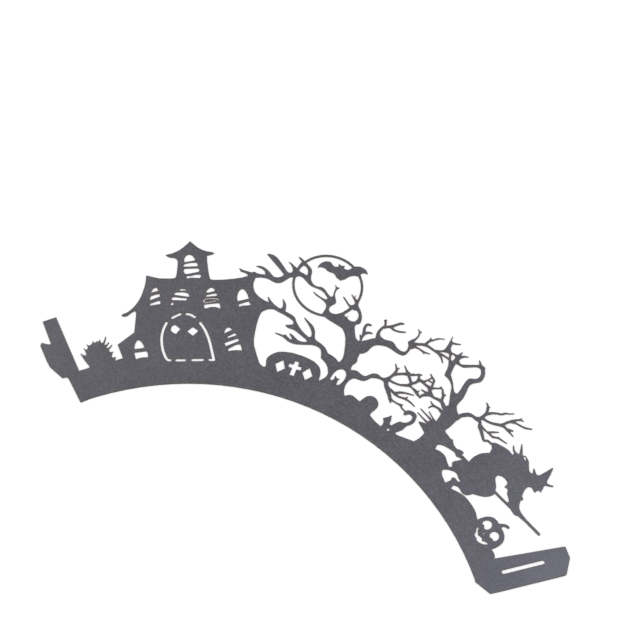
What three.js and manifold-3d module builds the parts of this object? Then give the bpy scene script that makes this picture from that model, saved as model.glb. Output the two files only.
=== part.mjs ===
// A cupcake wrapper cut by laser from one sheet of thin card, lying flat before it is curled up.
// Its lower edge is an arc that becomes the foot of a cone, and its upper edge is a night scene in
// silhouette. A hooked strip at the left end slips into a slot in the right end to close the ring.
import * as THREE from 'three';
import { mergeVertices } from 'three/addons/utils/BufferGeometryUtils.js';
import Module from 'manifold-3d';

const wasm = await Module();
wasm.setup();

// Driving sizes in millimetres. Places along the sheet are measured on the inner edge from its middle,
// clockwise positive, and heights are measured outwards from that edge.
const CARD = 0.3;
const INNER_RADIUS = 97.4;
const LEFT_END = -79.2;
const RIGHT_END = 82.0;

// How finely curves are cut into chords: how far a chord may stray from its curve, or from the
// joined outline, the steps in one span of a smooth line, and the radius that sets the fewest chords
const FLATNESS = 0.035;
const JOINT_FLATNESS = 0.015;
const SPAN_STEPS = 8;
const FEWEST_CHORDS_RADIUS = 1;
const SAME_POINT = 1e-5;

// Where the frame of each figure stands on the inner edge
const HOOK_AT = LEFT_END + 1;
const BUSH_AT = -68.0;
const HOUSE_AT = -45.05;
const MOON_AT = -11.9;
const STONE_AT = -8.5;
const BARE_TREE_AT = 6.8;
const TWISTED_TREE_AT = 18.7;
const CAT_AT = 28.9;
const TALL_TREE_AT = 39.1;
const WITCH_AT = 62.9;
const SLOT_AT = RIGHT_END - 7.2;

// Moon, door, slot and small cuts; places are in the frame of the figure
const MOON_CENTRE = [2.55, 45.88];
const MOON_LONG_RADIUS = 12.3;
const MOON_SHORT_RADIUS = 11.75;
const MOON_TURN = -0.56;
const MOON_STROKE = 0.8;
const DOOR_STROKE = 0.95;
const SLOT_WIDTH = 1.3;
const SLOT_LENGTH = 14.3;
const SLOT_FOOT = [7.35, 9.2];
const SLOT_LEAN = 0.115;
const PEEPHOLE_RADIUS = 0.55;
const CAT_GAP_RADIUS = 0.5;
const KERF = 0.42;

// Turns points of a figure's own frame (x along the sheet, y outwards) into the plane of the sheet.
function place(points, along) {
  const turn = along / INNER_RADIUS;
  return points.map(([x, y]) => [
    x * Math.cos(turn) + (INNER_RADIUS + y) * Math.sin(turn),
    (INNER_RADIUS + y) * Math.cos(turn) - x * Math.sin(turn),
  ]);
}

// A smooth line through the points, with no loops where they lie close together.
function splineThrough(points) {
  const knots = points.map(([x, y]) => new THREE.Vector3(x, y, 0));
  return new THREE.CatmullRomCurve3(knots, false, 'centripetal');
}

// Drops the points of a path that lie within a tolerance of the chord between their neighbours.
function thin(path, tolerance = FLATNESS) {
  const [startX, startY] = path[0];
  const [endX, endY] = path[path.length - 1];
  const chord = Math.hypot(endX - startX, endY - startY);
  let farthest = 0;
  let widest = tolerance;
  for (let i = 1; i < path.length - 1; i += 1) {
    const [x, y] = path[i];
    const aside = Math.abs((endX - startX) * (y - startY) - (endY - startY) * (x - startX)) / chord;
    if (aside > widest) {
      farthest = i;
      widest = aside;
    }
  }
  if (farthest === 0) return [path[0], path[path.length - 1]];
  const before = thin(path.slice(0, farthest + 1), tolerance);
  const after = thin(path.slice(farthest), tolerance);
  return [...before.slice(0, -1), ...after];
}

// An outline starts at a corner. Each stretch after it is one point, reached by a straight cut, or
// several points, reached by one smooth curve through them.
function outline(start, ...stretches) {
  const path = [start];
  for (const stretch of stretches) {
    if (stretch.length === 1) {
      path.push(stretch[0]);
    } else {
      const knots = [path[path.length - 1], ...stretch];
      const curve = splineThrough(knots).getPoints(SPAN_STEPS * stretch.length);
      path.push(...thin(curve.map(({ x, y }) => [x, y])).slice(1));
    }
  }
  return path;
}

// A half circle round the end of a limb, from its right side to its left.
function roundEnd(end, ahead, half) {
  const cuts = Math.ceil(Math.PI / 2 / Math.acos(1 - FLATNESS / Math.max(half, 2 * FLATNESS)));
  return Array.from({ length: cuts - 1 }, (_, cut) => {
    const angle = (Math.PI * (cut + 1)) / cuts;
    const aside = half * Math.cos(angle);
    const beyond = half * Math.sin(angle);
    return [end.x + ahead.y * aside + ahead.x * beyond, end.y - ahead.x * aside + ahead.y * beyond];
  });
}

// A limb follows a smooth line through its points with both ends round, and its widths are spread
// evenly along it.
function limb(points, widths) {
  const curve = splineThrough(points);
  const steps = SPAN_STEPS * (points.length - 1);
  const left = [];
  const right = [];
  for (let i = 0; i <= steps; i += 1) {
    const at = (i / steps) * (widths.length - 1);
    const stop = Math.min(Math.floor(at), widths.length - 2);
    const half = THREE.MathUtils.lerp(widths[stop], widths[stop + 1], at - stop) / 2;
    const point = curve.getPoint(i / steps);
    const ahead = curve.getTangent(i / steps);
    left.push([point.x - ahead.y * half, point.y + ahead.x * half]);
    right.push([point.x + ahead.y * half, point.y - ahead.x * half]);
  }
  const tip = roundEnd(curve.getPoint(1), curve.getTangent(1), widths[widths.length - 1] / 2);
  const root = roundEnd(curve.getPoint(0), curve.getTangent(0).negate(), widths[0] / 2);
  return [...thin(right), ...tip, ...thin(left.reverse()), ...root];
}

// A closed round, cut into equal turns.
function ellipse(centre, longRadius, shortRadius, turn = 0) {
  const radius = Math.max(longRadius, FEWEST_CHORDS_RADIUS);
  const corners = Math.ceil(Math.PI / Math.acos(1 - FLATNESS / radius));
  return Array.from({ length: corners }, (_, corner) => {
    const angle = (2 * Math.PI * corner) / corners;
    const along = longRadius * Math.cos(angle);
    const across = shortRadius * Math.sin(angle);
    return [
      centre[0] + along * Math.cos(turn) - across * Math.sin(turn),
      centre[1] + along * Math.sin(turn) + across * Math.cos(turn),
    ];
  });
}

// The band that carries the scene: the inner arc below, and the line of the ground above.
function band() {
  const ground = outline(
    [LEFT_END + 2.3, 11.3], [[-70, 11.4]], [[-62.8, 11.9]], [[-45, 8]], [[-21, 9]],
    [[-19.9, 9.2], [-19.2, 9.4], [-18.6, 10.2]], [[-3, 9]], [[7.2, 9]],
    [[7.7, 9.4], [8.3, 10.1], [9.4, 10.6], [10.8, 10.4], [12.3, 10]], [[16.6, 8.1]],
    [[17.7, 7.6], [19.6, 6.9], [22.4, 6.5]], [[27.3, 7.4]],
    [[28.6, 7.7], [31.6, 9], [33.3, 9.7]], [[38.7, 12.4]],
    [[39.3, 12.7], [40.4, 13.3], [42.1, 13.6], [43.4, 13.3], [44.4, 12.7], [45.9, 12.1]], [[45.5, 9.8]],
    [[46.4, 8.6], [47.7, 8], [49.2, 7.5]], [[51.6, 7.6]],
    [[53.8, 8.9], [56.1, 9.9], [58.3, 10.2], [60.5, 10.2], [62.2, 9.9], [63.9, 9.2]], [[73.8, 8.5]],
    [[74.5, 8.8], [75.4, 8.9], [76.2, 8.8], [76.9, 8.3]], [[80, 8]],
  );
  const top = ground.flatMap(([along, height]) => place([[0, height]], along));
  const chordTurn = 2 * Math.acos(1 - FLATNESS / INNER_RADIUS);
  const steps = Math.ceil((RIGHT_END - LEFT_END) / INNER_RADIUS / chordTurn);
  const arc = Array.from({ length: steps + 1 }, (_, step) => {
    const along = THREE.MathUtils.lerp(RIGHT_END, LEFT_END, step / steps);
    return place([[0, 0]], along)[0];
  });
  return [...top, ...arc];
}

// The hooked strip at the left end, with a barb on each side of its neck.
function hook() {
  return outline(
    [-1.2, -0.25], [[-2.4, 9.6]], [[-2.8, 10.5]], [[-4.3, 10.6]], [[-7.15, 16.3]], [[-7.5, 19.1]],
    [[-7.9, 25.2]], [[-7.2, 26.1]], [[-5, 24.55]], [[-4.3, 24.6]], [[-4.6, 33.9]], [[0.2, 33.95]],
    [[1.7, 11.35]], [[2.5, 0]],
  );
}

// A low bush, round on top, with a ragged fringe of thorns.
function bush() {
  return [
    outline(
      [-6.1, 10], [[-6, 11.8]], [[-7.1, 14.4], [-8.1, 17.3]],
      [[-7, 16.3], [-6.6, 16], [-6.1, 16.5], [-6.2, 17.3], [-6.6, 19.1]],
      [[-5.9, 18.1], [-5.2, 18.7], [-5.3, 20.3]], [[-4.9, 19.6], [-4.2, 19.5], [-3.4, 20.1]],
      [[-3, 21]], [[-2.8, 20.1]], [[-2, 20.1]], [[-1.7, 20.6]], [[-1.3, 20]], [[-0.6, 20.9]],
      [[-0.5, 19.8], [-0.2, 19.1], [0.2, 18.9]], [[0.8, 18.2]], [[1.1, 17.8]], [[1, 17.1]],
      [[1.5, 16.8]], [[1.7, 15.9], [1.6, 15.4], [2.1, 15.1]], [[2.9, 15.1]],
      [[2.2, 13.9], [2.1, 13.1], [2.5, 12.8]], [[3.4, 12.9]], [[2.9, 11.9], [2.9, 11.5]], [[3.4, 10]],
    ),
    limb([[-0.2, 18.6], [0.8, 19.7], [1.5, 21.3]], [0.9, 0.5, 0.3]),
    limb([[0.3, 17.7], [1.4, 18.2], [2.1, 18.9]], [0.9, 0.5, 0.25]),
    limb([[0.9, 16.2], [1.9, 16.8], [3, 17.7]], [0.9, 0.5, 0.25]),
  ];
}

// The house: a shed at the left, three storeys, swooping eaves and a turret.
function house() {
  return [
    outline(
      [-19, 6], [[-20, 10]], [[-22, 15.3]], [[-16.5, 19.9]], [[-16.3, 23.5], [-16.1, 27.4]],
      [[-16.5, 28.4]], [[-17.8, 27.6], [-19.2, 26.4], [-20.2, 26.2], [-21.1, 26.6], [-20.9, 27.1]],
      [[-19.6, 27.6], [-18, 28.8], [-16.4, 30.7], [-14.9, 33.4], [-13.7, 37.2], [-13.2, 40.2],
        [-13.1, 42.4]],
      [[-10.9, 41.7], [-8.5, 41.1], [-6.2, 40.95], [-3.4, 41], [-2.75, 41.3]],
      [[-2.5, 42.6], [-2.3, 45], [-2.2, 47.5], [-2.5, 48.7], [-3.4, 49.3], [-5.3, 49.6], [-6.1, 50.1]],
      [[-6.5, 50.6]], [[-5.6, 50.8], [-4.4, 51.1], [-2.8, 51.8], [-1, 53], [0.6, 54.5], [1.95, 56]],
      [[3, 55.05], [4.8, 53.3], [6.8, 52.15], [8.5, 51.6], [9.6, 51.4], [10.65, 50.95]],
      [[9.8, 50.4], [8, 50]], [[8.1, 48], [8.4, 45], [8.8, 42.2], [9.2, 40.4]],
      [[9.9, 40.1], [12.5, 40], [15.5, 40.1], [19, 40.5], [21.4, 41], [22.7, 41.6], [22.9, 42.2]],
      [[25.2, 42.2]], [[25, 40.3]],
      [[24.5, 39], [24.3, 37.5], [24.5, 36], [25.1, 34.4], [26.4, 32.8], [28, 31.5], [30, 30.4]],
      [[32.3, 28.6]], [[31.8, 27.6]],
      [[31.2, 28], [29.6, 27.95], [28.2, 27.5], [27.1, 26.8], [26.4, 25.4], [25.8, 23.6], [25.2, 21],
        [24.7, 18.4], [24.4, 16], [24.5, 13.8], [25.1, 11.3], [25.8, 8.6], [26.5, 6.7], [27.4, 5.8]],
      [[27, 3]],
    ),
  ];
}

// Five boarded windows below, one boarded arch in the turret. The card left between the cuts of one
// window is the boards nailed across it.
function houseWindows() {
  return [
    outline(
      [-11.3, 35.4], [[-10.9, 36.4], [-10.4, 37.1], [-9.7, 37.5], [-9, 37], [-8.7, 36.1]],
      [[-9.9, 35.8]],
    ),
    outline(
      [-11.5, 32.4], [[-11.5, 33.5], [-11.1, 34.2]], [[-8.7, 34.9]], [[-8.1, 34.5], [-8.1, 33.8]],
    ),
    outline([-11.5, 30.3], [[-11.4, 31.1]], [[-8.3, 32.3]], [[-7.8, 31.6], [-8, 30.8]]),
    outline([-1.2, 36], [[-1.3, 36.5], [-0.9, 36.8]], [[0.8, 36.5]], [[0.9, 36.2], [0.7, 35.9]]),
    outline(
      [-3.2, 34.4], [[-3, 35.3]], [[-0.4, 35.4], [1.4, 35], [2, 34.2], [2.1, 33.4]], [[0.4, 33.7]],
    ),
    outline([-4.1, 32.3], [[-3.9, 33.2], [-3.5, 33.6]], [[1.2, 32.9]], [[1.4, 32.4], [1.1, 32]]),
    ellipse([-3.8, 30.8], PEEPHOLE_RADIUS, PEEPHOLE_RADIUS),
    outline(
      [7.9, 34.9], [[8.1, 35.8], [8.8, 36.6], [9.7, 37], [10.5, 36.7], [11, 35.6]], [[9.4, 35.1]],
    ),
    outline([7.9, 33.3], [[8, 34.1]], [[11.3, 34.7]], [[11.8, 34.2], [11.5, 33.6]]),
    outline(
      [7.4, 28.7], [[7.2, 30.3]], [[12.4, 30.8]], [[12.8, 30], [12.9, 28.4]],
      [[11.5, 29.1], [9.6, 29.2], [8.4, 28.8]],
    ),
    outline(
      [18.8, 31.3],
      [[18.7, 33.2], [19.1, 34.8], [19.8, 35.9], [20.5, 36.2], [21.3, 35.7], [22.2, 34.2],
        [22.8, 32.2]],
    ),
    outline(
      [19.4, 29.1], [[19.2, 30.1]], [[22.6, 31.2]], [[23.1, 30.6], [23.4, 29.7]],
      [[22, 29.5], [20.7, 29.5]],
    ),
    outline([14.2, 18.7], [[14.5, 20], [15.1, 20.9], [15.8, 21.1], [16.6, 20.7], [17.1, 20.2]]),
    outline([15.6, 16.9], [[15.3, 17.5]], [[17.8, 18.8]], [[18.4, 18.5], [18.4, 17.9]]),
    outline([14.9, 13.8], [[14.3, 15.1]], [[18.8, 16.7]], [[19.3, 16.3], [19.2, 15.7]]),
    outline(
      [15.8, 11.9], [[15.6, 12.5], [16, 13]], [[18.4, 14.3], [19.8, 14.5]], [[20.2, 13.2], [20.4, 12]],
      [[18.6, 12.2], [17, 12.1]],
    ),
    outline(
      [-16.3, 13.4],
      [[-16.2, 15], [-15.8, 16.3], [-15.3, 16.9], [-14.5, 16.7], [-13.7, 15.8], [-12.9, 14.2]],
      [[-13.2, 13.8]],
    ),
    outline(
      [-15.6, 9.5], [[-16.3, 12.1]], [[-12.1, 12.6]], [[-11.7, 11.9], [-11.5, 10.2]],
      [[-13.4, 10.2], [-14.6, 9.9]],
    ),
    outline(
      [0, 47.6],
      [[0, 48.6], [0.4, 49.7], [0.9, 50.3], [1.7, 50.55], [2.6, 50.3], [3.4, 49.5], [3.8, 48.6],
        [3.7, 48]],
      [[2.2, 47.8]], [[0.9, 47.5]],
    ),
    outline(
      [-0.2, 46], [[0, 46.7]], [[2.3, 47.2], [4.3, 47.3]], [[4.8, 46.6], [4.9, 46.1], [4.6, 45.7]],
      [[0.1, 45.6]],
    ),
    outline(
      [-0.05, 43.7], [[-0.05, 44.3], [0.2, 44.8], [0.7, 44.9]], [[4.8, 44.9]],
      [[5.4, 44.5], [5.5, 43.9], [5.1, 43.4]], [[1.2, 42.6]], [[0.7, 42.6], [0.2, 43.1]],
    ),
    outline(
      [0.8, 41.4], [[1.1, 41.8], [2.6, 41.9]],
      [[3.9, 42.3], [5.4, 42.4], [6, 42.1], [6, 41.4], [5.6, 40.9]], [[2.4, 41.1]],
      [[1.6, 40.8], [1.1, 41]],
    ),
  ];
}

// One cut of the third window goes round its slip of card and leaves it held at the lower right.
function heldSlip() {
  const path = [
    [12.15, 32.05], [11.85, 32.4], [10, 32.6], [7.7, 32.45], [7.1, 31.8], [7.5, 31.1], [9.4, 31.25],
    [11.3, 31.75],
  ];
  return limb(path, [KERF, KERF]);
}

// The door is marked by a broken line of narrow cuts, with a pair of square peepholes.
function door() {
  const dashes = [
    [[-3.6, 25.3], [-2.4, 26], [-0.9, 26.7]],
    [[1.3, 26.7], [2.6, 26.4], [4.1, 25.4]],
    [[-5.6, 23.4], [-6.7, 20.5], [-7.1, 17], [-6.6, 13], [-5.4, 9.8], [-4.8, 9.1], [-4, 8.9]],
    [[6, 23.1], [7.6, 20.5], [9, 16.8], [10, 12.8], [10.8, 8.8]],
    [[-1.8, 8.85], [0.9, 8.8]],
    [[3.6, 8.8], [7, 8.75]],
    [[9.4, 8.75], [10.8, 8.7]],
  ];
  const peepholes = [
    outline([-2.6, 22.6], [[-0.7, 20.9]], [[-2.3, 18.9]], [[-3.9, 20.1], [-4, 21.3], [-3.6, 22.2]]),
    outline([3.5, 21.6], [[5.5, 20]], [[3.6, 18.1]], [[1.5, 19.9]]),
  ];
  return [...dashes.map((dash) => limb(dash, [DOOR_STROKE, DOOR_STROKE])), ...peepholes];
}

// The moon is a thin ring, crossed by a bat above and by the limbs of the bare tree below.
function moon() {
  const [rim, inside] = [MOON_STROKE / 2, -MOON_STROKE / 2].map((aside) => (
    ellipse(MOON_CENTRE, MOON_LONG_RADIUS + aside, MOON_SHORT_RADIUS + aside, MOON_TURN)
  ));
  return { rim, inside };
}

// A bat with its wings spread across the top of the moon.
function bat() {
  return outline(
    [-3, 51.6], [[-2.9, 52.8], [-2.2, 54], [-1.2, 54.9], [0.2, 55.3]],
    [[1, 55], [1.7, 54.3], [2.6, 53.9], [3.4, 54.1], [3.9, 54.5], [3.8, 54.9], [3.4, 55.5]],
    [[4.2, 55.1], [5, 55], [5.9, 55.3]],
    [[5.7, 54.5], [6.2, 54.1], [7.2, 54], [8.2, 54.7], [8.5, 55.2], [9, 55.9]],
    [[9.9, 56.3], [11.2, 56.6], [12.6, 56.3], [13.7, 55.7], [14.5, 54.5]],
    [[13.4, 54.6], [12.5, 54.3], [12.1, 53.6], [12.2, 53]], [[12, 52.5]],
    [[11.2, 52.7], [10, 52.5], [8.8, 51.8], [8, 50.9], [7.3, 50], [6.6, 49.6], [6.1, 49.1]],
    [[5.6, 49.5], [4.5, 49.9], [3.7, 50.8], [2.8, 51.3], [1.8, 51.3], [0.8, 51.5]],
    [[0.2, 51.8], [-0.4, 52.2], [-1.6, 52.3], [-2.5, 52.2]],
  );
}

// Limbs of the bare tree that cross the moon and reach back to the house, in the moon's frame.
function moonLimbs() {
  const reach = outline(
    [15.2, 29], [[13.5, 30.6]], [[12.6, 31.3], [11, 31.9], [9, 32.5], [7, 33.1], [5.2, 33.8]],
    [[4.2, 34.4]],
    [[4.5, 35.8], [4.7, 37], [4.5, 38.3], [3.5, 39.4], [1.9, 40.2], [0, 40.9], [-1.4, 41.8]],
    [[-1.3, 42]], [[0, 41.4], [1.9, 40.7], [3.5, 40.35]],
    [[4.05, 40.5], [4.05, 41.1], [3.2, 42], [1.9, 43], [0.6, 43.5], [-1.3, 43.7], [-3.2, 44.1],
      [-4.8, 45], [-6.4, 46.1], [-7.7, 46.5], [-8.6, 46.2], [-9.1, 45.4]],
    [[-10.3, 45.3]],
    [[-10.9, 45], [-11.7, 43.9], [-12.7, 42.6], [-13.6, 41.8], [-14.6, 41.4], [-16, 41.5],
      [-17.6, 41.9], [-19, 42], [-20.6, 41.8], [-22.4, 41.1]],
    [[-23, 40]], [[-25.2, 41.1]], [[-25.8, 41.6], [-28.2, 41.9]], [[-29.1, 42.9]],
    [[-27.2, 42.6], [-24.2, 42.6]], [[-23.9, 43], [-23.4, 43.2], [-22.8, 42.9]],
    [[-21.4, 42.9], [-19.6, 43.2]], [[-19.8, 44], [-20.3, 44.6], [-21.4, 45.2], [-23.8, 45.5]],
    [[-22.1, 46.1], [-20.2, 45.7], [-18.2, 44.6], [-17, 43.7], [-16, 43.35], [-14.7, 43.7],
      [-13.7, 44.5], [-13.4, 45.5]],
    [[-14.2, 46.1], [-16, 47.4], [-18.6, 49.2], [-20.7, 50.7], [-21.7, 51.4]],
    [[-20.2, 51.8], [-18.2, 51.3], [-16, 49.7], [-14.1, 48.1], [-12.4, 46.7], [-11.6, 46.6],
      [-11, 47.1], [-10.9, 47.9], [-11.4, 48.9], [-12.4, 50], [-13.5, 50.8]],
    [[-12.2, 50.5], [-10.9, 49.7], [-9.8, 49.2]], [[-8.9, 48.6]],
    [[-8.3, 48.2], [-7, 47.9], [-5.6, 47.4]], [[-4.2, 47.6]],
    [[-3.7, 46.3], [-3, 45.4], [-2.1, 44.7], [-0.8, 44.35], [0.4, 44.6], [1.5, 44.4], [2.6, 43.7],
      [3.8, 42.6], [4.8, 42], [5.5, 42]],
    [[5.6, 43.1], [5.45, 44.4], [5.6, 45.5], [5, 47.1]], [[5.8, 46.2]], [[6.9, 46.25]],
    [[6.2, 45.5], [5.95, 44.4], [6.1, 43.1], [6.7, 41.8], [7.4, 40.4]],
    [[7.2, 39.8], [6.2, 38.6], [5.8, 37.5], [6.2, 36.4], [7.4, 35.8], [9, 36], [10.2, 36.7],
      [11.4, 37.9]],
    [[11.7, 36.3]], [[12.6, 35.8]], [[12.8, 36.7]], [[13.1, 35.5], [14.2, 35], [15.6, 34.9]],
    [[15.9, 33]],
  );
  const arch = outline(
    [-9.9, 48], [[-9.6, 50.2], [-9.3, 51.4], [-8.9, 52.4]], [[-9.7, 52.8], [-10.6, 53.6]],
    [[-10.5, 53.9]], [[-9.3, 53.4], [-8.4, 52.9]],
    [[-7.4, 52.2], [-5.8, 51.2], [-4.7, 50.2], [-4.3, 49.2], [-4.2, 47.9]], [[-3.9, 46.8]],
    [[-5.8, 46.6]], [[-5.5, 48.2], [-5.7, 49.2], [-6.4, 50.3], [-7.4, 51], [-8, 51]],
    [[-8.6, 50], [-8.9, 48.7], [-8.9, 47.6]],
  );
  const elbow = outline(
    [14.6, 44.5], [[14.95, 43], [14.9, 41.8]],
    [[15.4, 41.1], [16.2, 40.2], [17.1, 38.8], [17.7, 37.4], [17.85, 36.4], [17.8, 35.6], [17.6, 34.9],
      [16.9, 34.4]],
    [[15.2, 34.4]],
    [[16, 35.4], [16.45, 36.4], [16.4, 37.8], [15.9, 38.9], [15.1, 39.5], [14.2, 39.4], [13.6, 39.6]],
    [[13, 38.8], [12.2, 37.8], [11.6, 36.9]], [[11.5, 36.2]], [[10.3, 36.6]],
    [[11.2, 38], [12.1, 39.1], [12.5, 40]], [[11.8, 40.5], [10.4, 41.8], [9, 43.2]], [[9.2, 43.4]],
    [[10.4, 42.5], [11.6, 41.4], [12.4, 40.9]], [[13, 41], [13.6, 41.6], [13.7, 42.3]],
    [[13.2, 43], [12.4, 43.9], [11.5, 45]], [[11.7, 45.2]], [[12.2, 44.7], [12.75, 44.3]],
    [[13.1, 45.3]], [[13.1, 44.2], [13.6, 43.7], [14.2, 43.6]],
  );
  return [reach, arch, elbow];
}

// The gravestone stands in the ground with a rounded head.
function gravestone() {
  return outline(
    [-10.6, 6], [[-10.6, 8]], [[-11.3, 9.1]],
    [[-12.1, 11.6], [-11.6, 13.3], [-9.3, 15.6], [-5.4, 16.8], [-2.6, 17], [0.2, 16.9], [3.3, 16.3],
      [5.5, 15.2], [6.6, 13.7], [7.1, 12], [7.2, 10.7]],
    [[8, 9]], [[8, 6]],
  );
}

// A plain cross between two lozenges is cut through the stone.
function stoneCuts() {
  const cross = outline(
    [-2.8, 14.4], [[-1.2, 14.4]], [[-1.2, 12.9]], [[0.2, 12.9]], [[0.2, 11.5]], [[-1.2, 11.5]],
    [[-1.2, 8.8]], [[-2.8, 8.8]], [[-2.8, 11.5]], [[-4.2, 11.5]], [[-4.2, 12.9]], [[-2.8, 12.9]],
  );
  const lozenges = [
    outline([-6.6, 13.4], [[-5, 10.5]], [[-7, 8.3]], [[-8.7, 11.1]]),
    outline([2.8, 13.6], [[4.8, 11]], [[2.9, 8.7]], [[1, 11.1]]),
  ];
  return [cross, ...lozenges];
}

// The limb of the bare tree that hangs over the stone and reaches back to the house.
function stoneLimb() {
  return outline(
    [9.5, 13], [[9.3, 14.2], [8.6, 15.6], [7.2, 17.2], [5, 18.5]],
    [[4.6, 20.1], [3.7, 21.6], [2.2, 22.2], [0.2, 22.05], [-2.6, 21.1], [-5.4, 20.4], [-7.6, 20.6],
      [-9.7, 21.5], [-11.2, 21.8], [-13, 22]],
    [[-13, 22.2]], [[-11.5, 22.3], [-9.9, 22.25]], [[-9.5, 22.85]],
    [[-8.4, 22.1], [-7.2, 21.6], [-6.6, 21.6]], [[-7, 22.3], [-8.3, 23.5]], [[-8.1, 23.75]],
    [[-6.9, 23.3], [-5.6, 22.6], [-4.4, 22.1], [-2.9, 22.1], [-1.9, 22.4], [-1.6, 22.9], [-2.2, 23.4]],
    [[-4.8, 24.5], [-7.1, 25.4], [-9.7, 25.5]], [[-10.8, 26.2]],
    [[-9.6, 26.7], [-8.7, 27.1], [-8.4, 27.6], [-8.8, 28.5], [-9.9, 29.1], [-12.4, 29.8], [-15.2, 30.3],
      [-16.7, 30.6], [-18.6, 30], [-20, 28.9]],
    [[-23, 30]], [[-21.5, 32.3]], [[-19.3, 32.6]], [[-20.4, 34.4]], [[-20.2, 34.6]],
    [[-18.8, 33.4], [-17.2, 32.4], [-15.6, 31.8], [-14.6, 31.7], [-14.2, 32.3], [-14.4, 33.6],
      [-15.3, 35.6]],
    [[-14, 34.6], [-13.2, 33.4], [-12.9, 32.3], [-12.7, 31.2]],
    [[-11.2, 30.9], [-9.9, 30.6], [-8.7, 30], [-7.6, 28.6], [-5.4, 26.6], [-3.2, 25.2], [-1.7, 24.6]],
    [[-1.1, 24.7], [-0.9, 25.4], [-1.3, 26.6], [-2.2, 27.9], [-3.4, 29.1], [-5.7, 31]], [[-5.5, 31.2]],
    [[-3.4, 30.1], [-1.6, 29], [-0.5, 27.6], [0, 26.2], [0.5, 24.9], [1.3, 24.2], [3, 23.7],
      [5.1, 22.6], [6.7, 20.9]],
    [[8.2, 20.6], [9.8, 20], [11.1, 19.1]], [[13, 17]], [[12, 12]],
  );
}

// The trunk and thick limbs of the bare tree, in its own frame.
function bareTree() {
  return [
    outline(
      [-9.4, 9.2], [[-9, 6]], [[1, 6]], [[0.6, 9.3]],
      [[0.3, 9.7], [-0.4, 10.9], [-0.9, 12.5], [-0.9, 14], [-0.5, 15.4], [0.2, 16.4], [1.2, 16.8],
        [2.8, 16.95], [4.1, 17.6], [4.8, 18.6], [5.3, 19.4], [6.3, 20], [7.6, 20.4], [9.2, 20.45],
        [10.2, 20]],
      [[10.8, 20.6]], [[10.4, 22.1]],
      [[9.5, 21.6], [8.2, 21.35], [6.8, 21.75], [5.4, 21.4], [4.3, 20.3], [3.6, 19.3], [2.9, 18.95],
        [1.7, 19], [0.2, 19.4], [-1.3, 19.1], [-2.1, 18.6]],
      [[-2.4, 19.8], [-2.4, 20.9], [-1.9, 21.8], [-1.8, 22.6], [-2.2, 23.8], [-2.3, 24.9],
        [-2.4, 25.7]],
      [[-1.3, 26.5], [-0.5, 27.8], [-0.2, 29.2], [0.2, 30.4], [1, 31.3], [2.6, 32.1], [4.4, 32.5],
        [6.5, 32.4], [8, 32.1], [9.6, 32], [11, 32.4], [11.6, 33.4], [11.8, 34.9], [12, 36.1]],
      [[12.3, 38]], [[11.2, 38.9]], [[10.4, 38.5], [9.8, 37.7]],
      [[10.5, 36.8], [11, 35.4], [11, 34.4], [10.4, 33.6], [9.2, 33.4], [7.5, 33.9], [6.3, 34.7],
        [5.3, 35.1], [4.2, 35], [2.6, 34.6], [0.9, 34.9], [0.1, 35.6], [-0.2, 36.8], [0.1, 38.1]],
      [[0.6, 39]], [[-0.2, 39.5]], [[-0.8, 38], [-1.1, 36.5], [-1, 35], [-0.5, 33.6]],
      [[-1.2, 33], [-2.4, 31.8], [-3.8, 30.4]], [[-5.1, 29.7]],
      [[-6.3, 30.2], [-7.2, 31.3], [-8.2, 32.8], [-8.8, 33.9], [-8.9, 34.8], [-8.4, 35.6]],
      [[-9.1, 36.2]], [[-10.6, 35.3]], [[-13.5, 35.2]], [[-13.5, 32.3]],
      [[-12, 31.2], [-11, 30.4], [-9.9, 29.2], [-8.6, 26.8], [-7.4, 24], [-6.75, 22], [-6.6, 20.4],
        [-6.9, 19.5], [-7.4, 19.3]],
      [[-9.5, 19]], [[-9.5, 16.2]],
      [[-9.2, 15.4], [-8.3, 14.1], [-8.1, 12.8], [-8.6, 11.4], [-9.3, 10.2]],
    ),
    limb(
      [[-4.5, 29.8], [-4.8, 31.6], [-4.8, 33], [-5.3, 34.2], [-5.7, 35.6], [-5.4, 36.9], [-4.3, 37.2]],
      [0.7, 0.8, 1, 1, 0.9, 0.8, 0.7],
    ),
    limb([[-5.2, 31.4], [-5.7, 32.1]], [0.6, 0.35]),
    limb([[-4.8, 33], [-4.1, 33.9], [-3.3, 34.4], [-2.3, 34.6]], [1, 0.9, 0.7, 0.35]),
    limb([[0.1, 38.6], [0.1, 39.5], [-0.3, 40.6], [-0.8, 41.2]], [0.8, 0.7, 0.7, 0.8]),
    limb([[-0.9, 41.2], [-0.4, 41.6]], [0.5, 0.35]),
    limb(
      [[0.1, 38.7], [1, 39.4], [2.3, 40.3], [3.4, 41.7], [4.5, 42.8], [5.5, 43.2]],
      [1, 0.8, 1, 0.8, 0.8, 0.35],
    ),
    limb([[2.2, 40], [3.2, 39.5], [4.4, 39.5], [6, 39.9], [7.4, 40.6]], [1, 0.7, 0.6, 0.55, 0.35]),
    limb([[11, 38.4], [11.6, 39.8], [12, 41.2], [11.8, 42.6], [11.8, 43]], [1.4, 0.6, 0.5, 0.5, 0.4]),
    limb([[11.9, 42.9], [11.3, 43.3], [10.8, 43.6]], [0.5, 0.45, 0.3]),
    limb([[11.8, 42.8], [12.15, 43.3]], [0.4, 0.3]),
  ];
}

// The opening between the roots of the bare tree, with a broken root standing in it.
function rootHole() {
  return outline(
    [-6.7, 12.5],
    [[-6.6, 14.6], [-6.1, 16.4], [-5, 17.5], [-4, 17.7], [-3.2, 17.3], [-2.4, 16], [-2.2, 14.4],
      [-2.6, 12.5], [-3.3, 11.4]],
    [[-3.7, 11.7], [-4, 12.6], [-4, 13.3], [-3.7, 14]], [[-4.4, 13.7], [-5, 13.9], [-5.5, 14.4]],
    [[-5.5, 13.6], [-5.4, 12.8], [-5.8, 12.3], [-6.3, 12.2]],
  );
}

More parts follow.
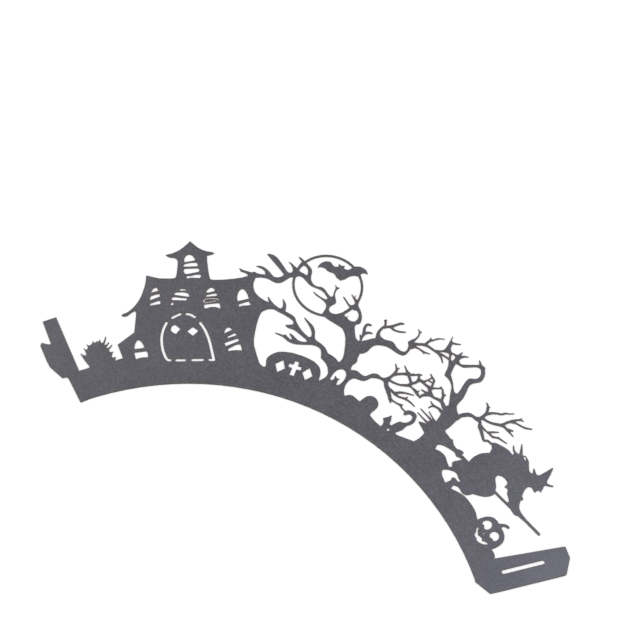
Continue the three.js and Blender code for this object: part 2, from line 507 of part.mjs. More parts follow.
// A rounded mound at the right of the bare tree's roots.
function mound() {
  return outline(
    [5, 9], [[6.2, 9.9]],
    [[6.7, 11.3], [7.5, 12.8], [8.6, 13.5], [9.9, 13.6], [11.2, 13], [12.1, 12], [12.3, 10.9],
      [12, 9.4], [11.5, 8.2]],
    [[11.4, 7]],
  );
}

// Twigs on the bare tree's right limbs, in the twisted tree's frame.
function upperTwigs() {
  return [
    limb(
      [[-4.8, 38.2], [-3.4, 39.1], [-1.9, 40.1], [0, 40.5], [2.2, 40.4], [4.2, 40.4], [6.2, 40.7],
        [8.4, 40.6]],
      [1.4, 0.9, 0.9, 0.8, 0.7, 0.9, 0.6, 0.6],
    ),
    limb([[-1.3, 40.4], [-1.1, 41.8], [-0.8, 42.9], [-1.2, 43.7]], [1, 0.8, 0.8, 0.3]),
    limb(
      [[-0.9, 42.7], [0.1, 43.6], [0.8, 44.7], [1.5, 45.3], [2.9, 46.1]], [0.8, 0.5, 0.5, 0.35, 0.2],
    ),
    limb(
      [[-4.6, 36.6], [-3.6, 37.6], [-2.2, 37.9], [-0.4, 37.8], [0.9, 38.1], [2, 38.4]],
      [1, 0.7, 0.5, 0.6, 0.4, 0.25],
    ),
    limb([[-0.3, 37.8], [0.3, 37.3]], [0.5, 0.3]),
    limb([[4.2, 40.4], [5.8, 39.6], [7.3, 38.2]], [0.9, 0.6, 0.4]),
  ];
}

// The twisted tree: a fine tangle of twigs between the bare tree's limb and the tall tree's trunk.
function twistedTree() {
  return [
    limb(
      [[-4.6, 21.4], [-4.2, 22.2], [-3.8, 23.6], [-3.5, 25.2], [-3.6, 26.6], [-4.1, 27.3],
        [-5.2, 28.4]],
      [1.7, 1.2, 0.9, 1, 0.8, 0.6, 0.35],
    ),
    limb([[-3.7, 26.6], [-3.4, 27.8]], [0.6, 0.35]),
    limb([[-3.6, 24.4], [-2.6, 25.6], [-1.2, 26.8], [0.4, 27.8]], [0.9, 0.8, 0.8, 1.2]),
    limb([[0.5, 27.8], [-1, 28.7], [-2.4, 29.7]], [1.1, 0.55, 0.3]),
    limb([[0.2, 28.1], [1.4, 28.2], [2.6, 29.1], [3.6, 29.9], [4.4, 30.2]], [1, 0.7, 0.6, 0.6, 0.3]),
    limb([[1.4, 28.2], [1.8, 28.9]], [0.6, 0.4]),
    limb([[0.3, 28], [1.5, 26.9], [2.6, 26], [3.3, 25.2], [2.9, 24.4]], [1.1, 0.9, 0.9, 1, 0.9]),
    limb(
      [[-4.4, 22.3], [-2.8, 22.2], [-1, 22.4], [0.8, 23], [2.1, 23.9], [3.2, 24.4]],
      [1, 0.7, 0.6, 0.65, 0.9, 0.8],
    ),
    limb([[2.8, 24.6], [4.2, 24.3], [5.6, 24.1], [7, 23.5], [8.5, 22.8]], [1, 0.5, 0.9, 1, 0.35]),
    limb([[3.4, 29.7], [4.2, 28.6], [4.5, 27.7], [4.2, 26.7], [3.3, 25.6]], [0.7, 0.8, 1, 0.8, 0.9]),
    limb(
      [[4.3, 28], [5.6, 28.3], [7.2, 27.9], [8.8, 27.8], [9.8, 26.9], [10.8, 26]],
      [1, 1, 0.7, 1.1, 1.2, 1],
    ),
    limb([[6, 28.2], [6.8, 29.4], [7.3, 30.5], [7.6, 31.5]], [1, 0.5, 0.4, 0.6]),
    limb([[6.5, 32.2], [7.8, 31.5], [8.8, 30.9], [9.2, 29.5], [9.7, 27.8]], [0.35, 0.5, 0.7, 0.7, 1]),
    limb([[6.8, 29.8], [8.9, 29.9]], [0.4, 0.35]),
    limb([[9.6, 27.9], [10.8, 28.8], [12, 29.7], [12.1, 30.4]], [0.8, 0.5, 0.4, 0.3]),
    limb(
      [[11.9, 29.9], [13, 29.8], [13.7, 28.8], [14.5, 28], [14.8, 26.8], [15.5, 25.6], [16.9, 24.8]],
      [0.5, 0.5, 0.8, 0.9, 0.9, 1, 1],
    ),
    limb([[14.5, 27.9], [14.9, 28.8]], [0.7, 0.35]),
    limb(
      [[7.3, 25.6], [8.8, 25.6], [10.6, 25.9], [12.2, 25.6], [13.8, 25.9], [15.4, 25.8], [17, 24.6]],
      [0.35, 0.6, 1.5, 0.7, 0.9, 1.1, 1.4],
    ),
    limb([[10.9, 26], [9.7, 25], [8.8, 24.2], [8.4, 23], [8.6, 22.8]], [1.3, 1.1, 0.9, 0.7, 0.4]),
    limb([[6.4, 23.9], [6.9, 24.7]], [0.6, 0.3]),
    limb(
      [[17.4, 22.8], [15.8, 23.2], [14.2, 23.1], [13.2, 23.3], [12.2, 23.9]],
      [1.2, 0.7, 0.7, 0.5, 0.25],
    ),
    limb([[14, 23.1], [13.3, 22.3], [12.9, 21.4]], [0.6, 0.5, 0.25]),
    limb([[17.9, 18.2], [16.1, 19.2], [13.9, 20.4]], [0.9, 0.4, 0.25]),
    limb([[17.6, 17.8], [14.5, 18.7], [11, 19.6]], [0.9, 0.45, 0.25]),
    limb([[16.6, 16.5], [14, 17.1], [11, 17.9]], [0.9, 0.45, 0.25]),
    outline(
      [17.4, 19], [[16.8, 18.3], [16, 17.8], [15.6, 17.2]], [[15.9, 16.2]], [[14.2, 15.8], [13, 15.3]],
      [[14.2, 14.6], [15.7, 13.8], [17.1, 13]], [[18.5, 14]],
    ),
    limb(
      [[-4.2, 21.4], [-3.5, 20.2], [-2.2, 19.2], [-0.8, 18], [0.4, 16.9], [1.5, 15.6]],
      [1.6, 1.4, 1.6, 1.3, 1.1, 0.5],
    ),
    limb([[0.6, 16.6], [2, 16.5], [3.6, 16.6], [5, 16.8]], [1.2, 0.5, 0.5, 0.7]),
    limb([[5.1, 16.7], [5.3, 17.3]], [0.5, 0.3]),
    limb([[4.8, 16.8], [5.7, 16.1], [6.6, 15.9], [7.7, 15.6]], [0.7, 0.45, 0.45, 0.5]),
    limb(
      [[-2.2, 19.3], [-0.6, 19.4], [0.9, 19.1], [2.4, 18.9], [3.8, 19.3], [5.6, 19.6], [7.2, 19.5],
        [8.9, 19.1]],
      [1.4, 0.8, 1, 0.6, 0.6, 0.55, 0.5, 0.3],
    ),
    limb([[0.8, 19.3], [1.9, 20.4], [3.2, 21.2], [4.7, 21.8], [6.3, 22.3]], [0.9, 0.8, 0.6, 0.5, 0.3]),
    limb([[3.9, 19.4], [4.7, 19.7], [5.1, 20.5]], [0.6, 0.7, 0.35]),
  ];
}

// Upper limbs of the tall tree, in the twisted tree's frame.
function tallTreeCrown() {
  return outline(
    [19, 28], [[16.5, 28.8]], [[15.7, 30.6], [14.9, 32.3], [13.5, 33.7], [11.9, 34.4], [10.4, 34.7]],
    [[10.1, 36.3], [9.6, 38.2], [8.6, 40], [7.9, 41.2], [7.5, 42.1]],
    [[6.8, 42.4], [5.8, 42], [4.8, 41.5], [4.4, 40.9]], [[3.6, 40.5]], [[2.8, 40.9]],
    [[3.7, 41.4], [4.8, 42.2], [5.1, 42.9]], [[5.1, 44.2], [4.9, 46], [4.5, 48.5]], [[4.7, 48.6]],
    [[5.1, 47.3], [5.6, 46.7]], [[6.9, 47.1], [8.5, 47.8]], [[8.6, 47.6]], [[7.2, 46.6], [6.2, 46.2]],
    [[6.2, 45.4], [6.6, 44.3], [7.4, 43.5], [8.4, 43.4], [9.6, 43.55]],
    [[10, 44], [10.3, 44.9], [10.5, 45.5]], [[10.7, 45.5]], [[10.8, 44.8], [10.9, 44]],
    [[11.8, 44.7], [13.3, 45.3]], [[13.4, 45.1]],
    [[12.4, 44.4], [11.7, 43.6], [11.4, 42.8], [11.5, 42.1], [12, 41.6], [12.8, 41.4], [13.6, 41.8],
      [15.2, 42.9], [17, 44.2], [17.9, 44.8]],
    [[17.5, 45.5], [17, 46.1]], [[17.1, 46.3]], [[17.7, 46], [18.6, 45.3], [19.9, 45.1]],
    [[20.4, 44.2]], [[19.2, 43.8]],
    [[18.1, 43.8], [17, 43.2], [15, 41.6], [14, 40.85], [12.6, 40.7], [11.2, 40.6]],
    [[11.3, 39.4], [11.7, 37.4], [12.1, 36]],
    [[13.2, 35.1], [14.6, 33.7], [15.8, 32.2], [16.8, 31.3], [17.8, 31.2]], [[19.5, 31]],
  );
}

// The small opening where two limbs of the crown part.
function crownHole() {
  return outline(
    [8.1, 42.8], [[8.8, 42.9], [9.6, 42.6], [9.8, 41.6], [9.6, 40.7], [9, 40.8], [8.4, 41.8]],
  );
}

// Trunk, right limbs and root of the tall tree, in its own frame.
function tallTree() {
  return [
    outline(
      [-5.5, 8], [[-6.4, 9.7]], [[-6.1, 11.2], [-6.1, 12.9], [-6.3, 14.2]], [[-8, 17.5]],
      [[-7.4, 18.8]], [[-6.8, 19.4], [-7.2, 21.6], [-8.2, 24.4], [-9, 26]],
      [[-8.3, 27], [-9.6, 29], [-11.3, 31.4]], [[-13, 33.5]],
      [[-10.8, 32.1], [-10, 32], [-9.4, 32.3], [-9.6, 33.8], [-10.4, 36.4], [-10.8, 38.6],
        [-10.6, 39.4]],
      [[-9.8, 40.2], [-9, 41], [-8.8, 42.2], [-9.4, 43.6], [-10.8, 44.7], [-11.6, 44.6]],
      [[-12.2, 45.4]], [[-10.4, 45.9]], [[-9.9, 46.2]], [[-9.6, 45.6]],
      [[-8.3, 44.4], [-7.5, 42.9], [-7.3, 41.2], [-7.9, 40], [-8.6, 38.8], [-8.8, 37.6], [-8.4, 36.4]],
      [[-7.5, 34.4], [-6.8, 32.4], [-6.6, 30.4], [-6.2, 29], [-5, 27.9], [-3.6, 27.2]], [[-3, 28.6]],
      [[-2, 30], [-0.8, 30.7], [0.8, 31], [1.6, 31.6]], [[2.4, 32.5]], [[3, 31.4]], [[3.2, 30.6]],
      [[1.8, 30], [0.2, 29.9], [-0.8, 29.3], [-1.6, 28.2], [-2.2, 27.2], [-2.2, 26]], [[-2.5, 25]],
      [[-2.3, 23], [-2.3, 21], [-2.5, 20.1]], [[-1.9, 19.5], [-0.9, 19.4], [0.4, 19.2], [1.1, 19.1]],
      [[1.7, 19.5]],
      [[2.6, 18.7], [3.8, 18.2], [5.2, 18.2], [6, 18.7], [7.2, 18.9], [7.6, 18.5], [7.5, 17.8]],
      [[8.8, 17.7], [10.4, 17.6]], [[14, 16.5]], [[9.4, 16]], [[8.8, 16.8]], [[7.6, 16.6], [6.5, 16.2]],
      [[5.4, 16.7], [4, 16.5], [2.4, 16.1], [0.9, 15.6], [-0.1, 14.9], [-0.4, 14.2]], [[0.2, 12.8]],
      [[0, 9]],
    ),
    limb([[-11.5, 45.3], [-12.2, 46], [-13.2, 46.6]], [1.2, 0.6, 0.3]),
    limb(
      [[2.3, 31], [2.4, 32.4], [2.4, 33.8], [2.1, 35], [1.4, 36], [0.7, 36.8], [-0.3, 37.2]],
      [1.4, 1.1, 1, 0.9, 0.9, 0.6, 0.4],
    ),
    limb([[1.4, 36.1], [1.5, 36.9]], [0.5, 0.3]),
    limb(
      [[2.4, 33.9], [3.3, 35.6], [4.6, 37], [6, 38], [6.6, 39.2], [7.5, 39.9], [8.6, 41.2]],
      [1, 0.8, 0.6, 0.6, 0.6, 0.35, 0.25],
    ),
    limb(
      [[2.4, 32.2], [4, 32.5], [5.6, 33], [7.4, 34.1], [8.8, 35.4], [9.2, 37], [10, 38.7], [10.8, 40.2],
        [11.6, 41.2]],
      [1.1, 0.7, 0.7, 0.9, 0.9, 0.8, 0.9, 0.6, 0.6],
    ),
    limb([[11.5, 41.2], [11.5, 41.9]], [0.5, 0.3]),
    limb([[11.5, 41.1], [12.6, 41.6]], [0.5, 0.3]),
    limb(
      [[10.1, 38.5], [11.4, 39.2], [13.2, 39.7], [14.8, 40.3], [16.5, 41.6]], [1, 0.55, 0.5, 0.6, 0.3],
    ),
    limb([[8.3, 34.8], [9.8, 35.4], [11.4, 35.3], [14.2, 35.1]], [0.9, 0.8, 0.7, 0.25]),
    limb([[10.8, 35.4], [12, 35.9], [12.8, 36.5]], [0.6, 0.8, 0.3]),
    limb(
      [[2.6, 30.7], [4, 30.1], [6, 29.8], [8, 29.9], [9.8, 30], [11.3, 31], [13, 31.4], [14.6, 31.7]],
      [0.9, 0.6, 0.5, 0.5, 0.7, 0.5, 0.4, 0.25],
    ),
    limb([[10.8, 30.7], [11.3, 31.4]], [0.5, 0.3]),
    limb([[7.6, 29.9], [8.6, 31.2], [9.9, 32.6]], [0.7, 0.6, 0.3]),
    limb(
      [[3.3, 30.6], [4.2, 29.4], [5.8, 28.6], [7.4, 27.6], [8.8, 26.9], [9.6, 27.7], [11.6, 27.9],
        [13, 28.6]],
      [0.9, 1.2, 1.1, 0.9, 0.7, 0.7, 0.6, 1.4],
    ),
    limb([[6.9, 18.3], [7, 17.5], [7.9, 17.25]], [1, 0.8, 0.8]),
    outline(
      [6, 17], [[7, 17.65]], [[11, 17.65]], [[12, 15]], [[8.9, 16.6]],
      [[8.4, 16.8], [7.4, 16.4], [6.6, 16.1]],
    ),
  ];
}

// A cat arches its back in the opening, with its tail curled over.
function cat() {
  return [
    outline(
      [-6.9, 5], [[-6.9, 7.2]], [[-7.3, 8.2], [-8.3, 9.1]], [[-7.4, 10.4]], [[-6.85, 11.8]],
      [[-5.9, 10.4], [-5.4, 9]], [[-5, 8.8], [-4.5, 9]],
      [[-4.1, 10.3], [-3.5, 11.6], [-2.9, 12.1], [-2.2, 12.3]],
      [[-1.4, 13.1], [-0.95, 14.2], [-0.95, 15.3], [-1.4, 16], [-2.3, 16.2], [-3, 15.8], [-3.4, 15.2]],
      [[-3.8, 14.6], [-4.3, 14.9], [-4.5, 15.7], [-4.1, 16.7], [-3, 17.4], [-1.4, 17.6], [-0.5, 17.2],
        [0, 16.2], [0.35, 14.8], [0.1, 13.5], [-0.6, 12.3], [-0.7, 11.2], [-0.8, 10.1], [-1.3, 8.9],
        [-1.8, 8.2]],
      [[-1.6, 7.5]], [[-1.4, 5]],
    ),
  ];
}

// The small round gap under the cat's belly.
function catGap() {
  return ellipse([-4.35, 7.05], CAT_GAP_RADIUS, CAT_GAP_RADIUS);
}

// The witch rides a broom to the right, with her cape behind her and one foot over the hill.
function witch() {
  return [
    outline(
      [-16.8, 24.6], [[-17.3, 25.3], [-17.9, 26.2], [-19, 26.7]], [[-19.6, 27.2]],
      [[-19.1, 28.1], [-17.6, 29.2], [-14.9, 30.6], [-12.6, 31]], [[-12.9, 31.5]], [[-12.6, 32.3]],
      [[-12.1, 32.7], [-12.1, 33.4]], [[-11.4, 34]], [[-10.8, 33.8]], [[-10.4, 34.6]],
      [[-9.4, 34.6], [-8.2, 34.4], [-6.8, 33.6], [-5.6, 32.9], [-4.6, 32.8], [-3.9, 33.3]],
      [[-4.6, 33.9], [-5.4, 34.5]], [[-5, 34.7]], [[-3.7, 34.3], [-2.9, 34.3], [-2.4, 34.9]],
      [[-2.5, 37.5], [-2.7, 40.2]], [[-2.3, 40.1]],
      [[-1.6, 39.2], [-0.8, 38], [0, 36.7], [0.6, 35.9], [1.1, 35.6]],
      [[1.9, 36], [2.4, 36.5], [2.8, 37]], [[3.1, 36.8]], [[2.6, 35.9], [1.9, 35.2], [1.4, 34.6]],
      [[1.7, 33.9], [2.3, 33.1], [2.9, 32.1]], [[2.1, 32.1], [1.8, 31.4], [2, 30.4]],
      [[1.2, 30.4], [0.4, 30.5]], [[-0.3, 30.2], [-0.7, 29.5], [-0.5, 28.4], [0.2, 27.2], [1.1, 26.1]],
      [[2, 26]], [[2.4, 25.6], [2.1, 25]], [[3.2, 23.8], [4.6, 23], [6, 22.8]], [[6.6, 21.6]],
      [[5.9, 20.9], [5, 20.5], [3.8, 20.5], [2.8, 20.6]], [[0.6, 20.6]], [[0.9, 21.3]],
      [[0, 21.8], [-1.9, 22.3], [-3, 23.3]], [[-3.8, 23.1]], [[-4.3, 22.7]],
      [[-4.5, 23.6], [-5.1, 24.4], [-6.3, 24.5], [-7.6, 24.1], [-8.4, 23.5], [-8.9, 22.7]],
      [[-8.4, 21.8], [-7, 21], [-5.6, 20.4], [-4.6, 19.5], [-4, 19.2]], [[-3.7, 18.4]],
      [[-3.7, 17.3], [-4.1, 15.9], [-5, 14.5], [-6.2, 13.3], [-7.1, 12.4]],
      [[-7.2, 11.5], [-7.6, 10.5], [-8.3, 9.8], [-9.3, 9.5], [-10.4, 9.6], [-11.4, 9.4], [-12, 9]],
      [[-12.6, 8.4]], [[-12, 7]], [[-12.5, 6]], [[-14.6, 6]], [[-14.45, 8.4]], [[-15.1, 9.3]],
      [[-14.7, 10.1]], [[-12.9, 10.3]], [[-12.6, 11.15]],
      [[-13.7, 11.1], [-15.4, 11.4], [-16.4, 11.2], [-17.4, 10.4], [-18.3, 9.4], [-18.9, 8.2]],
      [[-20.5, 8]], [[-20.6, 10.4]], [[-18.8, 10.4]], [[-18.3, 11.2]], [[-19.8, 12.2]],
      [[-19.6, 13.4], [-19.2, 14.6], [-18.9, 15.8]], [[-20.4, 15.9]], [[-20, 16.5]],
      [[-18.6, 16.7], [-17.3, 17]], [[-17.9, 18.6], [-18.15, 20.4], [-17.9, 22.4], [-17.3, 23.9]],
    ),
    limb([[-12.2, 32.4], [-13.4, 32.1], [-14.6, 32.5], [-15.4, 33]], [0.7, 0.6, 0.45, 0.3]),
    limb([[-11.2, 33.2], [-12.4, 34.1], [-13.4, 34.9], [-14.5, 35.6]], [1.3, 0.8, 0.6, 0.3]),
    limb([[-5, 18.9], [-1, 19.85], [4, 21.1]], [0.8, 0.75, 0.8]),
    limb([[4, 21.6], [6, 22.05], [8.8, 22.65]], [1.6, 1.5, 0.9]),
    limb([[5, 21.85], [9, 22.7], [14.8, 24.05]], [0.9, 0.9, 0.85]),
  ];
}

// The opening inside the curl at the top of her cape.
function capeLoop() {
  return outline([-10.5, 33.8], [[-10.3, 34.3], [-9.8, 34.4], [-9.2, 34], [-9, 33.5], [-9.5, 33.5]]);
}

// A round pumpkin lantern with a bent stalk.
function pumpkin() {
  return [
    outline(
      [1.4, 7],
      [[1.4, 10.4], [1.8, 12.3], [2.8, 13.8], [4.2, 14.5], [5.8, 14.6], [7, 14.5], [8.8, 14.4],
        [10.4, 13.8], [11.6, 12.6], [12.1, 11], [12.2, 9.4], [12, 7.8]],
      [[11, 5]], [[3, 5]],
    ),
    limb([[6.4, 14.2], [6.9, 15.6], [7.5, 16.25], [8.2, 16.55]], [1.5, 0.9, 0.9, 0.9]),
  ];
}

// The lantern's round eyes, small nose and toothed grin are cut through.
function lanternFace() {
  return [
    outline(
      [3.1, 9.9],
      [[2.7, 10.7], [2.9, 11.8], [3.7, 12.6], [4.6, 12.7], [5.5, 12.1], [5.9, 11], [5.6, 10],
        [4.8, 9.5]],
      [[4.3, 10]], [[3.8, 10.1], [3.4, 9.8]],
    ),
    outline(
      [8.2, 9.6],
      [[7.4, 10.2], [7.1, 11.2], [7.5, 12.2], [8.4, 12.7], [9.4, 12.5], [10.2, 11.6], [10.3, 10.6],
        [9.9, 9.9]],
      [[9.3, 10.1], [8.8, 9.9]],
    ),
    outline([5.9, 8.9], [[6.4, 8.9]], [[6.7, 8.3]], [[6.1, 8.4]]),
    outline(
      [3.2, 8.5], [[3.6, 7.6], [4.6, 6.7]], [[5.1, 5.9], [5.9, 5.6], [6.5, 5.8]],
      [[6.9, 5.5], [7.7, 5.5], [8.8, 6.1], [9.7, 7], [10.1, 8.1]], [[9.2, 7.8], [8.6, 7.4]],
      [[8.2, 6.9], [7.9, 6.9]], [[7.6, 7.3], [6.9, 7.2]], [[6, 6.8], [5.5, 6.8]],
      [[5.1, 7.3], [4.5, 7.4]], [[4.2, 8], [3.7, 8]],
    ),
  ];
}

// The right end: a broad tab with a clipped corner, cut through by the slot that takes the hook.
function tab() {
  return outline(
    [-1, 1], [[2.2, 8]], [[6.6, 31.05]], [[10.6, 30.8]], [[15.1, 27.5]], [[15.35, 27]], [[15, 23.8]],
    [[12.75, 4.8]], [[12.4, 2.4]], [[7.2, -0.4]],
  );
}

// The slot leans outwards a little, and its ends are round.
function slot() {
  const reach = SLOT_LENGTH - SLOT_WIDTH;
  const head = [
    SLOT_FOOT[0] + reach * Math.sin(SLOT_LEAN),
    SLOT_FOOT[1] + reach * Math.cos(SLOT_LEAN),
  ];
  return limb([SLOT_FOOT, head], [SLOT_WIDTH, SLOT_WIDTH]);
}

// A plate of the shape, as one closed skin whose corners are shared.
function extruded(shape, bottom, thickness) {
  const geometry = new THREE.ExtrudeGeometry(shape, { depth: thickness, bevelEnabled: false });
  geometry.translate(0, 0, bottom);
  geometry.deleteAttribute('normal');
  geometry.deleteAttribute('uv');
  return mergeVertices(geometry, SAME_POINT);
}

// The plate inside a closed line, ready to be joined to others or cut from them.
function solid(points, bottom, thickness) {
  const shape = new THREE.Shape(points.map(([x, y]) => new THREE.Vector2(x, y)));
  const merged = extruded(shape, bottom, thickness);
  return new wasm.Manifold(new wasm.Mesh({
    numProp: 3,
    vertProperties: Float32Array.from(merged.attributes.position.array),
    triVerts: Uint32Array.from(merged.index.array),
  }));
}

// Follows the edge of a solid's upper face: one closed line round the outside and one for each hole.
function rims({ vertProperties, triVerts }) {
  const points = vertProperties.length / 3;
  const sides = new Set();
  for (let i = 0; i < triVerts.length; i += 3) {
    const corners = [...triVerts.slice(i, i + 3)];
    if (corners.every((corner) => vertProperties[3 * corner + 2] > CARD / 2)) {
      corners.forEach((corner, at) => sides.add(corner * points + corners[(at + 1) % 3]));
    }
  }
  const next = new Map();
  for (const side of sides) {
    const from = Math.floor(side / points);
    const to = side % points;
    if (!sides.has(to * points + from)) next.set(from, to);
  }
  const lines = [];
  while (next.size > 0) {
    const line = [];
    let [at] = next.keys();
    while (next.has(at)) {
      line.push([vertProperties[3 * at], vertProperties[3 * at + 1]]);
      const following = next.get(at);
      next.delete(at);
      at = following;
    }
    lines.push(line);
  }
  return lines;
}

// A closed line is thinned as two halves, parted at the corner farthest from its start.
function thinClosed(line) {
  const reach = line.map(([x, y]) => Math.hypot(x - line[0][0], y - line[0][1]));
  const far = reach.indexOf(Math.max(...reach));
  const outward = thin(line.slice(0, far + 1), JOINT_FLATNESS);
  const homeward = thin([...line.slice(far), line[0]], JOINT_FLATNESS);
  return [...outward.slice(0, -1), ...homeward.slice(0, -1)].map(([x, y]) => new THREE.Vector2(x, y));
}

// Figures are as thick as the card, and cuts reach past both of its faces.
function sheetFrom(along, outlines) {
  return outlines.map((points) => solid(place(points, along), 0, CARD));
}

function cutsFrom(along, outlines) {
  return outlines.map((points) => solid(place(points, along), -CARD, 3 * CARD));
}

const ring = moon();
const card = [
  solid(band(), 0, CARD),
  ...sheetFrom(HOOK_AT, [hook()]),
  ...sheetFrom(BUSH_AT, bush()),
  ...sheetFrom(HOUSE_AT, house()),
  ...sheetFrom(MOON_AT, [bat(), ...moonLimbs()]),
  ...sheetFrom(STONE_AT, [gravestone(), stoneLimb()]),
  ...sheetFrom(BARE_TREE_AT, [...bareTree(), mound()]),
  ...sheetFrom(TWISTED_TREE_AT, [...upperTwigs(), ...twistedTree(), tallTreeCrown()]),
  ...sheetFrom(TALL_TREE_AT, tallTree()),
  ...sheetFrom(CAT_AT, cat()),
  ...sheetFrom(WITCH_AT, [...witch(), ...pumpkin()]),
  ...sheetFrom(SLOT_AT, [tab()]),
];
const cuts = [
  ...cutsFrom(HOUSE_AT, [...houseWindows(), heldSlip(), ...door()]),
  ...cutsFrom(STONE_AT, stoneCuts()),
  ...cutsFrom(BARE_TREE_AT, [rootHole()]),
  ...cutsFrom(TWISTED_TREE_AT, [crownHole()]),
  ...cutsFrom(CAT_AT, [catGap()]),
  ...cutsFrom(WITCH_AT, [capeLoop(), ...lanternFace()]),
  ...cutsFrom(SLOT_AT, [slot()]),
];

const moonRing = sheetFrom(MOON_AT, [ring.rim])[0].subtract(cutsFrom(MOON_AT, [ring.inside])[0]);
const scene = card.reduce((whole, piece) => whole.add(piece), moonRing);
const silhouette = cuts.reduce((whole, cut) => whole.subtract(cut), scene);

// The sheet is made again from the edges of the joined figures, so no seams are left on its faces.
const lines = rims(silhouette.getMesh()).map(thinClosed);
lines.sort((one, other) => Math.abs(THREE.ShapeUtils.area(other)) - Math.abs(THREE.ShapeUtils.area(one)));
const [outside, ...holes] = lines;
const sheet = new THREE.Shape(outside);
sheet.holes = holes.map((hole) => new THREE.Path(hole));
const geometry = extruded(sheet, 0, CARD);
geometry.computeVertexNormals();
geometry.computeBoundingBox();

const blackCard = new THREE.MeshStandardMaterial({ color: 0x5b5a60, roughness: 0.6, metalness: 0.1 });
const wrapper = new THREE.Mesh(geometry, blackCard);
wrapper.name = 'wrapper';

// The sheet lies on z = 0 with the middle of its box on the origin.
const middle = geometry.boundingBox.getCenter(new THREE.Vector3());
wrapper.position.set(-middle.x, -middle.y, 0);

const part = new THREE.Group();
part.add(wrapper);

export default part;
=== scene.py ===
import bmesh
import bpy
from mathutils import Matrix, Vector


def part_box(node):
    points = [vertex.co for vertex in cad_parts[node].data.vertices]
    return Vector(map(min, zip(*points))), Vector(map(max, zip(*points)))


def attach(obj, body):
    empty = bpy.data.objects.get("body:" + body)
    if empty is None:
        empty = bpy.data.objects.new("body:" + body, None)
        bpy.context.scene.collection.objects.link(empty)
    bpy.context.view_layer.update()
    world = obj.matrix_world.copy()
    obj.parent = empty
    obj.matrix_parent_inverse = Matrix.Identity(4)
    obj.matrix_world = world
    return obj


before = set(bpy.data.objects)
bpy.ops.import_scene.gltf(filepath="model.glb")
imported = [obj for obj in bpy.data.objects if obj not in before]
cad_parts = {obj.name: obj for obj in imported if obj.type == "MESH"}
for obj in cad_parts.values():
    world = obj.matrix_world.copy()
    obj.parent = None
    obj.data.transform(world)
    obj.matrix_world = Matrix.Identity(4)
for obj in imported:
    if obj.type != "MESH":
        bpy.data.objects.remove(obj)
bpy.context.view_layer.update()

bpy.context.scene.view_settings.view_transform = "Standard"


# The wrapper is one sheet of black pearl card about 0.3 mm thick, laid flat. The mill coats the
# stock with mica on both faces; a laser then cuts the whole outline and every opening right
# through, so the paper core shows at the cuts, brown in the middle and burnt dark at both faces.
def from_srgb(code, alpha=1.0):
    channels = [int(code[i : i + 2], 16) / 255 for i in (1, 3, 5)]
    linear = [c / 12.92 if c <= 0.04045 else ((c + 0.055) / 1.055) ** 2.4 for c in channels]
    return (*linear, alpha)


def add_node(tree, kind, settings=None, inputs=None):
    node = tree.nodes.new(kind)
    for name, value in (settings or {}).items():
        setattr(node, name, value)
    for socket, value in (inputs or {}).items():
        if isinstance(value, bpy.types.NodeSocket):
            tree.links.new(value, node.inputs[socket])
        else:
            node.inputs[socket].default_value = value
    return node


def blank_material(name):
    material = bpy.data.materials.new(name)
    material.use_nodes = True
    material.node_tree.nodes.clear()
    return material


def ramp(tree, factor, *stops):
    """The colour at factor between the stops, each a place from 0 to 1 and a hex colour."""
    node = add_node(tree, "ShaderNodeValToRGB", inputs={"Fac": factor})
    colours = node.color_ramp.elements
    for position, _ in stops[2:]:
        colours.new(position)
    for colour, (position, code) in zip(colours, stops):
        colour.position = position
        colour.color = from_srgb(code)
    return node.outputs["Color"]


def face_or_cut(tree, place, face_tone, cut_tone):
    """The one tone on the sheet's two flat faces, and the other on the walls of its cuts."""
    facing = add_node(tree, "ShaderNodeSeparateXYZ", inputs={"Vector": place.outputs["Normal"]})
    tilt = add_node(tree, "ShaderNodeMath", {"operation": "ABSOLUTE"}, {0: facing.outputs["Z"]})
    on_face = add_node(
        tree,
        "ShaderNodeMath",
        {"operation": "GREATER_THAN"},
        {0: tilt.outputs["Value"], 1: FLAT_FACE_TILT},
    )
    tone = add_node(
        tree,
        "ShaderNodeMix",
        {"data_type": "RGBA"},
        {"Factor": on_face.outputs["Value"], "A": cut_tone, "B": face_tone},
    )
    return tone.outputs["Result"]


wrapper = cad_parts["wrapper"]
sheet_low, sheet_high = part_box("wrapper")
CARD_THICKNESS = sheet_high[2] - sheet_low[2]
FLAT_FACE_TILT = 0.5
FACE_DARK = "#38363C"
FACE = "#46444B"
FACE_PALE = "#58565D"
CORE_BROWN = "#5E5044"
CORE_BURNT = "#2F2823"
PAPER_IOR = 1.5
GLOSSIEST_ROUGHNESS = 0.27
DULLEST_ROUGHNESS = 0.39
GRAIN_SIZE = 0.0006
FLAKE_RELIEF = 0.00004
CLOUD_SIZE = 0.012
CLOUD_SHARE = 0.25

# Pearl card: a smooth black stock whose mica coat gives the eye a soft grey sheen and an even, fine
# mottle, with paler and darker clouds some 12 mm across. The flakes are near 0.05 mm, too fine to
# show, so their grain is drawn at 0.6 mm.
pearl_card = blank_material("black pearl card")
tree = pearl_card.node_tree
place = add_node(tree, "ShaderNodeTexCoord")
grain = add_node(
    tree,
    "ShaderNodeTexNoise",
    {"noise_dimensions": "3D"},
    {"Vector": place.outputs["Object"], "Scale": 1 / GRAIN_SIZE, "Detail": 3.0, "Roughness": 0.65},
)
clouds = add_node(
    tree,
    "ShaderNodeTexNoise",
    {"noise_dimensions": "3D"},
    {"Vector": place.outputs["Object"], "Scale": 1 / CLOUD_SIZE, "Detail": 2.0, "Roughness": 0.5},
)
mottle = add_node(
    tree,
    "ShaderNodeMath",
    {"operation": "MULTIPLY_ADD"},
    {0: clouds.outputs["Fac"], 1: CLOUD_SHARE, 2: grain.outputs["Fac"]},
)
